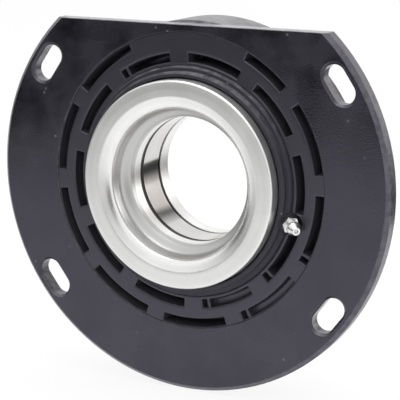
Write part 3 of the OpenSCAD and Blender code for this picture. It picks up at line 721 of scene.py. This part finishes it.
bore, recess, tube, spacer, dish = 0.030, 0.035, 0.038, 0.0345, 0.0412
rim_corner, rim_wall, rim_length, disc, tube_length = 0.0012, 0.003, 0.0095, 0.0036, 0.01625
taper_end, zinc_rough = -0.0025, 0.44
# The first grey is painted shade in the recess; the black is a painted shadow line at the joint
recess_shade_zinc, joint_shadow_black = (0.51, 0.508, 0.50), (0.03, 0.03, 0.03)


def cup_bands(tree, colour, rough):
    """Recess floor and lead-in of the bore darkened as painted shade, smoother mouth, and a painted shadow
    line where the race starts.
    """
    recess_shade_share, smooth_share, mouth_share = 0.8, 0.14, 0.25
    floor_edge, bore_edge = (bore + 0.0004, bore + 0.0007), (bore + 0.0001, bore + 0.0003)
    floor_end, mouth_start = (recess - 0.0002, recess + 0.0006), (recess - 0.0001, recess + 0.0004)
    mouth_end, lead_end = (recess + 0.002, recess + 0.004), (taper_end - 0.0006, taper_end)
    joint_end = (0.0014, 0.0022)
    xyz = split(tree, place(tree))
    radius = off_axis(tree, xyz)
    on_floor = times(tree, step_up(tree, radius, *floor_edge), step_down(tree, radius, *floor_end))
    on_lead = times(tree, step_down(tree, radius, *floor_edge), step_down(tree, xyz["Y"], *lead_end))
    # Painted shade: the recess floor and the bore's lead-in are darker
    colour = layer(tree, times(tree, on_floor, recess_shade_share), colour, recess_shade_zinc)
    colour = layer(tree, times(tree, on_lead, recess_shade_share), colour, recess_shade_zinc)
    # Painted shadow: a black line in the bore where the race starts
    from_joint = calc(tree, "ABSOLUTE", minus(tree, xyz["Y"], race_low.y))
    on_joint = times(tree, step_down(tree, radius, *bore_edge), step_down(tree, from_joint, *joint_end))
    colour = layer(tree, on_joint, colour, joint_shadow_black)
    within = step_down(tree, radius, *mouth_end)
    on_mouth = times(tree, within, step_up(tree, radius, *mouth_start))
    rough = minus(tree, rough, times(tree, within, zinc_rough * smooth_share))
    rough = minus(tree, rough, times(tree, on_mouth, zinc_rough * mouth_share))
    return colour, rough


slinger_zinc = make_turned("slinger_zinc", dark=(0.84, 0.838, 0.825), light=(0.95, 0.948, 0.935),
                           roughness=zinc_rough, pitch=0.00035, depth=0.000006, edge_round=0.0006,
                           bands=cup_bands)
dress(slinger_zinc, "rear_slinger")


def curve(start, lead, follow, end, steps=14):
    """Points of a smooth curve between two points, led by two more; the end point is left out."""
    points = []
    for step in range(steps):
        t = step / steps
        shares = ((1 - t) ** 3, 3 * t * (1 - t) ** 2, 3 * t * t * (1 - t), t ** 3)
        corners = (start, lead, follow, end)
        points.append(tuple(sum(share * at[i] for share, at in zip(shares, corners)) for i in (0, 1)))
    return points


def revolve(name, section, segments=256):
    """A closed ring about the shaft axis from a section of radius and Y."""
    points = []
    for segment in range(segments):
        angle = 2 * math.pi * segment / segments
        points += [(radius * math.cos(angle), y, radius * math.sin(angle)) for radius, y in section]
    count = len(section)
    faces = []
    for segment in range(segments):
        here, there = segment * count, (segment + 1) % segments * count
        for k in range(count):
            after = (k + 1) % count
            faces.append((here + k, here + after, there + after, there + k))
    mesh = bpy.data.meshes.new(name)
    mesh.from_pydata(points, [], faces)
    shape = bmesh.new()
    shape.from_mesh(mesh)
    bmesh.ops.recalc_face_normals(shape, faces=shape.faces)
    shape.to_mesh(mesh)
    shape.free()
    return put(name, mesh)


# The cup's section as radius and depth behind its front face; a bend is a curve's four points
slinger_low, slinger_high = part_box("front_slinger")
face, rim, length = slinger_low.y, slinger_high.x, slinger_high.y - slinger_low.y
rim_lead = rim_corner * 0.45
rim_bend = ((rim, rim_corner), (rim, rim_lead), (rim - rim_lead, 0), (rim - rim_corner, 0))
dish_bend = ((dish, 0), (dish - 0.0007, 0), (dish - 0.0011, 0.0003), (dish - 0.0019, 0.0008))
mouth_bend = ((recess + 0.0025, 0.0015), (recess + 0.0008, 0.0024), (recess, 0.0030), (recess, 0.0048))
floor_bend = ((recess, 0.0065), (recess, 0.0104), (bore + 0.0022, 0.0106), (bore + 0.0004, 0.0124))
cup = [(bore, length), (spacer, length), (spacer, tube_length), (tube, tube_length), (tube, disc)]
cup += [(rim - rim_wall, disc), (rim - rim_wall, rim_length), (rim, rim_length)]
cup += curve(*rim_bend, steps=8)
cup += [rim_bend[-1], (dish + 0.0006, 0)]
cup += curve(*dish_bend, steps=8)
cup += curve(*mouth_bend)
cup += curve(*floor_bend)
cup += [floor_bend[-1], (bore, taper_end - face)]
front_cup = revolve("front_cup", [(radius, face + depth) for radius, depth in cup])
smooth(front_cup.data, sharp_from=35)
front_cup.data.materials.append(slinger_zinc)
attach(front_cup, "inner_ring")
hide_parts("front_slinger")

# Grease nipple
# A small zinc-plated steel nipple with a hexagon, screwed into the carrier at 45 degrees.
# A check ball on a spring of wound steel wire closes its tip.

# The spring stands on the chamber's floor; the ball's lift takes a share of its length
chamber_floor, spring_length, coil_radius, wire_radius = 0.002, 0.00602, 0.00105, 0.0002
nipple_zinc = make_turned("nipple_zinc", dark=(0.80, 0.80, 0.79), light=(0.92, 0.92, 0.90), roughness=0.27,
                          pitch=0.0003, depth=0.000003, edge_round=0.0003)
dress(nipple_zinc, "nipple_body")
dress(ball_steel, "check_ball")


def make_coil():
    """Coil: a round wire wound along Z."""
    tree, given = new_shape("coil", Float=("Coil Radius", "Wire Radius", "Length", "Turns"))
    links = {"Resolution": 40, "Rotations": given["Turns"], "Start Radius": given["Coil Radius"],
             "End Radius": given["Coil Radius"], "Height": given["Length"]}
    path = add_node(tree, "GeometryNodeCurveSpiral", links)
    links = {"Resolution": 12, "Radius": given["Wire Radius"]}
    wire = add_node(tree, "GeometryNodeCurvePrimitiveCircle", links)
    links = {"Curve": path.outputs[0], "Profile Curve": wire.outputs["Curve"], "Fill Caps": True}
    end_shape(tree, given, add_node(tree, "GeometryNodeCurveToMesh", links).outputs[0])
    return tree


valve_spring = grow("valve_spring", bpy.data.meshes.new("spring_start"), make_coil(), {
    "Coil Radius": coil_radius, "Wire Radius": wire_radius, "Length": spring_length - 2 * wire_radius,
    "Turns": 6.0, "Material": spring_steel,
})
spring_foot = nipple_seat + boss_way * chamber_floor
wire_start = spring_foot + boss_way * wire_radius
valve_spring.data.transform(round_shaft @ Matrix.Translation(wire_start) @ upright)
smooth(valve_spring.data, sharp_from=60)
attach(valve_spring, "housing")
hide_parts("nipple_spring")
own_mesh(valve_spring)

# Floor, light and camera
# A plain pale floor under the rim, a large soft light above and a smaller one behind on the right.
# The camera has the photograph's viewing angle.

floor_z, floor_white = cad_box[0][2] - 0.0002, 0.88
floor_outline = [(-0.25, -0.75), (1.2, -0.75), (1.2, 0.3), (0.12, 0.3), (-1.1, 2.2), (-2.2, 2.2)]


def shows_background(tree, glossy_share=1.0):
    """1 for camera and transmission rays, and a share for glossy rays."""
    path = add_node(tree, "ShaderNodeLightPath").outputs
    direct = calc(tree, "MAXIMUM", path["Is Camera Ray"], path["Is Transmission Ray"])
    return calc(tree, "MAXIMUM", direct, times(tree, path["Is Glossy Ray"], glossy_share))


floor_mesh = bpy.data.meshes.new("floor")
floor_mesh.from_pydata([(x, y, floor_z) for x, y in floor_outline], [], [range(len(floor_outline))])
floor = put("floor", floor_mesh)
floor_paint, floor_tree, floor_shader = new_material("floor_paint", roughness=0.9)
floor_shader["Base Color"].default_value = (0.86, 0.86, 0.86, 1)
floor_shader["Specular IOR Level"].default_value = 0.0
white = add_node(floor_tree, "ShaderNodeEmission", {"Color": (1, 1, 1, 1), "Strength": 1.0}).outputs[0]
white_share = times(floor_tree, shows_background(floor_tree), floor_white)
floor_parts = {0: white_share, 1: floor_tree.nodes["Principled BSDF"].outputs[0], 2: white}
floor_blend = add_node(floor_tree, "ShaderNodeMixShader", floor_parts).outputs[0]
floor_tree.links.new(floor_blend, floor_tree.nodes["Material Output"].inputs["Surface"])
floor_mesh.materials.append(floor_paint)

# The room is bright above, dim on the camera's side, and has a warm grey wall behind the part.
# The bright part reaches lower at the front right and at the back left.
# Each pair is the low and the high end of a soft edge, as part of a direction of length 1.
room_dim, room_bright, wall_warm = (0.05, 0.05, 0.05), (1.05, 1.05, 1.05), (0.88, 0.835, 0.80)
back_edge, right_edge, left_edge = (0.0, 0.5), (0.5, 0.85), (-0.2, 0.08)
front_lit, back_lit, lower_by = (0.15, 0.45), (0.46, 0.56), 0.4
wall_foot, wall_top = (-0.19, 0.10), (0.38, 0.46)
world = bpy.data.worlds.new("studio")
bpy.context.scene.world = world
world.use_nodes = True
room = world.node_tree
way = split(room, add_node(room, "ShaderNodeTexCoord").outputs["Generated"])
behind = step_up(room, way["Y"], *back_edge)
front_right = times(room, step_up(room, way["X"], *right_edge), minus(room, 1.0, behind))
back_left = times(room, step_down(room, way["X"], *left_edge), behind)
lower = times(room, plus(room, front_right, back_left), lower_by)
lit_low = minus(room, spread(room, behind, front_lit[0], back_lit[0]), lower)
lit_high = minus(room, spread(room, behind, front_lit[1], back_lit[1]), lower)
lit = step_up(room, way["Z"], lit_low, lit_high)
wall = times(room, step_up(room, way["Z"], *wall_foot), step_down(room, way["Z"], *wall_top), behind)
room_colour = layer(room, lit, layer(room, wall, room_dim, wall_warm), room_bright)
room_light = room.nodes["Background"]
room.links.new(room_colour, room_light.inputs["Color"])
room_light.inputs["Strength"].default_value = 1.0
backdrop = add_node(room, "ShaderNodeBackground", {"Color": (1, 1, 1, 1), "Strength": 1.0}).outputs[0]
room_parts = {0: shows_background(room, lit), 1: room_light.outputs[0], 2: backdrop}
room_blend = add_node(room, "ShaderNodeMixShader", room_parts).outputs[0]
room.links.new(room_blend, room.nodes["World Output"].inputs["Surface"])


def soft_light(name, spot, size, power):
    """A square area light that looks at the origin."""
    lamp = bpy.data.lights.new(name, "AREA")
    lamp.size = size
    lamp.energy = power
    light = put(name, lamp)
    light.location = spot
    light.rotation_euler = (-Vector(spot)).to_track_quat("-Z", "Y").to_euler()


soft_light("overhead", spot=(0.1, 0.1, 1.2), size=1.2, power=11.0)
soft_light("behind_right", spot=(1.3, 1.3, 0.5), size=0.9, power=4.0)

camera_data = bpy.data.cameras.new("camera")
camera_data.sensor_fit = "HORIZONTAL"
camera_data.sensor_width = 36.0
camera_data.lens = 145.364
camera_data.clip_start = 0.01
camera = put("camera", camera_data)
camera.location = (0.341038, -0.652773, 0.148556)
camera.rotation_euler = [math.radians(degrees) for degrees in (77.86225, -0.34373, 27.42066)]
bpy.context.scene.camera = camera
bpy.context.scene.view_settings.view_transform = "Standard"
